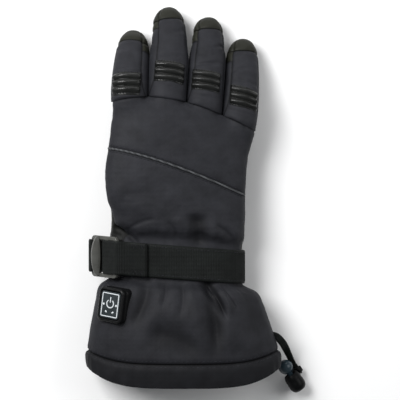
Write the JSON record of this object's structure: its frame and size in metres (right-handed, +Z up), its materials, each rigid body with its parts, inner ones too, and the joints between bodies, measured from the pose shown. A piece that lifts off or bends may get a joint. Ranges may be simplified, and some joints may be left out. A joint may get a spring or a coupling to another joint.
{
  "type": "heated glove",
  "caption": "Padded heated winter glove lying palm down, with ribbed knuckles, wrist strap and buckle, cuff switch and a drawcord lock on the hem.",
  "frame": {"origin": "middle of the flat underside of the wrist strap, on the table", "axes": "+Y towards the fingers, +Z up out of the back of the glove, -X on the thumb side"},
  "size_m": [0.1662, 0.2933, 0.0559],
  "materials": {
    "shell_fabric": "plain woven shell cloth, softly padded, matt",
    "hem_fabric": "plain woven shell cloth, folded and stitched, matt",
    "palm_leather": "soft grained synthetic leather",
    "tip_leather": "soft grained synthetic leather, olive black",
    "rib_leather": "padded ribs of synthetic leather",
    "piping": "grey corded piping",
    "webbing": "ribbed woven webbing",
    "buckle_plastic": "moulded, satin",
    "switch_plastic": "moulded, fine texture",
    "switch_face": "smooth membrane with light marks",
    "lock_plastic": "moulded, satin",
    "plunger_plastic": "smooth, glossy"
  },
  "bodies": {
    "glove": {"back_upper": "shell_fabric", "back_lower": "shell_fabric", "palm": "palm_leather", "piping": "piping", "index_sleeve": "shell_fabric", "index_tip": "tip_leather", "index_knuckle": "rib_leather", "middle_sleeve": "shell_fabric", "middle_tip": "tip_leather", "middle_knuckle": "rib_leather", "ring_sleeve": "shell_fabric", "ring_tip": "tip_leather", "ring_knuckle": "rib_leather", "little_sleeve": "shell_fabric", "little_tip": "tip_leather", "little_knuckle": "rib_leather", "thumb_sleeve": "palm_leather", "cuff": "shell_fabric", "hem_band": "hem_fabric", "wrist_strap": "webbing", "strap_tail": "webbing", "buckle": "buckle_plastic", "buckle_anchor": "webbing", "switch_housing": "switch_plastic", "switch_face": "switch_face", "lock_barrel": "lock_plastic", "lock_tab": "webbing"},
    "plunger": {"lock_plunger": "plunger_plastic"}
  },
  "joints": [
    {"name": "lock_press", "type": "slide", "parent": "glove", "child": "plunger", "axis": [0.5408, -0.8265, -0.1564], "range_m": [0, 0.0035], "stiffness_N_per_m": 400, "springref_m": -0.002}
  ]
}
